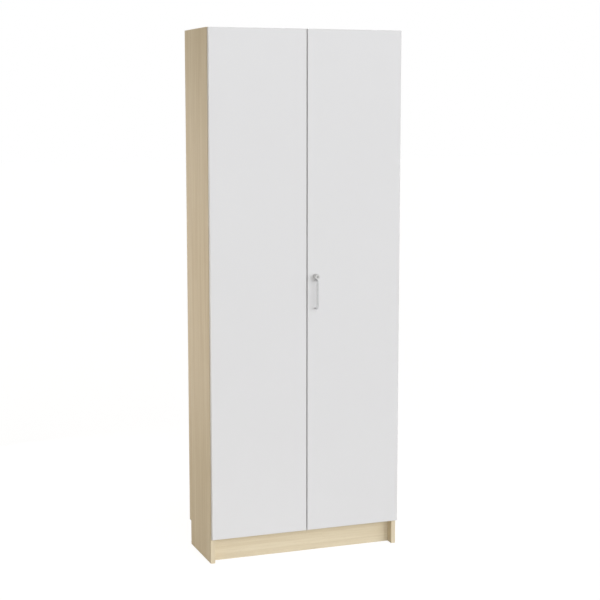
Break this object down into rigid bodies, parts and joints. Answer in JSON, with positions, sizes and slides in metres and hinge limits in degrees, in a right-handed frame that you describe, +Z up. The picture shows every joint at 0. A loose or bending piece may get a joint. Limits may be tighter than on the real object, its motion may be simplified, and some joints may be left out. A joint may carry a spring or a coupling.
{
  "type": "broom cupboard",
  "caption": "Tall two-door broom cupboard: birch-look carcass on a recessed plinth, plain white doors, cylinder lock, bow pull, broom bay and shelves.",
  "frame": {"origin": "on the floor, at the middle of the outline's width and depth, handle included", "axes": "+Z up, the doors face -Y, +X to the right seen from the front"},
  "size_m": [0.8, 0.3496, 2.1],
  "materials": {
    "birch_laminate": "matt birch-look laminate, fine straight grain",
    "white_laminate": "matt light grey-white laminate",
    "back_board": "thin birch-look fibre board",
    "dowel_wood": "plain beech",
    "clear_buffer": "soft translucent buffer",
    "handle_metal": "satin metal",
    "lock_metal": "satin nickel",
    "zinc_steel": "bright zinc-plated steel"
  },
  "bodies": {
    "carcass": {"back_panel": "back_board", "bottom_bolt_keeper": "zinc_steel", "bottom_panel": "birch_laminate", "cam_bolts": "zinc_steel", "cam_discs": "zinc_steel", "carcass_dowels": "dowel_wood", "front_plinth": "birch_laminate", "hat_shelf": "birch_laminate", "hook_rail": "birch_laminate", "hook_screws": "zinc_steel", "keeper_screws": "zinc_steel", "left_arm_screws": "zinc_steel", "left_hinge_arms": "zinc_steel", "left_hinge_plates": "zinc_steel", "left_plate_screws": "zinc_steel", "left_side_panel": "birch_laminate", "left_wall_rail": "birch_laminate", "lock_keeper": "zinc_steel", "partition": "birch_laminate", "rear_plinth": "birch_laminate", "right_arm_screws": "zinc_steel", "right_hinge_arms": "zinc_steel", "right_hinge_plates": "zinc_steel", "right_plate_screws": "zinc_steel", "right_side_panel": "birch_laminate", "right_wall_rail": "birch_laminate", "shelf_1": "birch_laminate", "shelf_2": "birch_laminate", "shelf_3": "birch_laminate", "shelf_4": "birch_laminate", "shelf_pins": "zinc_steel", "tool_hooks": "zinc_steel", "top_bolt_keeper": "zinc_steel", "top_panel": "birch_laminate"},
    "left_door": {"bottom_bolt_case": "zinc_steel", "case_screws": "zinc_steel", "left_cup_screws": "zinc_steel", "left_door_bumpers": "clear_buffer", "left_door_panel": "white_laminate", "left_hinge_cups": "zinc_steel", "left_hinge_pins": "zinc_steel", "top_bolt_case": "zinc_steel"},
    "right_door": {"handle_screws": "zinc_steel", "lock_housing": "lock_metal", "lock_nut": "zinc_steel", "pull_handle": "handle_metal", "right_cup_screws": "zinc_steel", "right_door_bumpers": "clear_buffer", "right_door_panel": "white_laminate", "right_hinge_cups": "zinc_steel", "right_hinge_pins": "zinc_steel"},
    "lock": {"lock_plug": "lock_metal", "lock_cam": "zinc_steel", "cam_screw": "zinc_steel"},
    "top_bolt": {"top_bolt": "zinc_steel"},
    "bottom_bolt": {"bottom_bolt": "zinc_steel"}
  },
  "joints": [
    {"name": "left_door_swing", "type": "hinge", "parent": "carcass", "child": "left_door", "pos_m": [-0.39135, -0.13735, 1.1], "axis": [0, 0, -1], "range_deg": [0, 95]},
    {"name": "right_door_swing", "type": "hinge", "parent": "carcass", "child": "right_door", "pos_m": [0.39135, -0.13735, 1.1], "axis": [0, 0, 1], "range_deg": [0, 95]},
    {"name": "lock_turn", "type": "hinge", "parent": "right_door", "child": "lock", "pos_m": [0.0345, -0.14475, 1.1355], "axis": [0, 1, 0], "range_deg": [0, 90]},
    {"name": "top_bolt_slide", "type": "slide", "parent": "left_door", "child": "top_bolt", "axis": [0, 0, 1], "range_m": [0, 0.016]},
    {"name": "bottom_bolt_slide", "type": "slide", "parent": "left_door", "child": "bottom_bolt", "axis": [0, 0, -1], "range_m": [0, 0.016]}
  ]
}
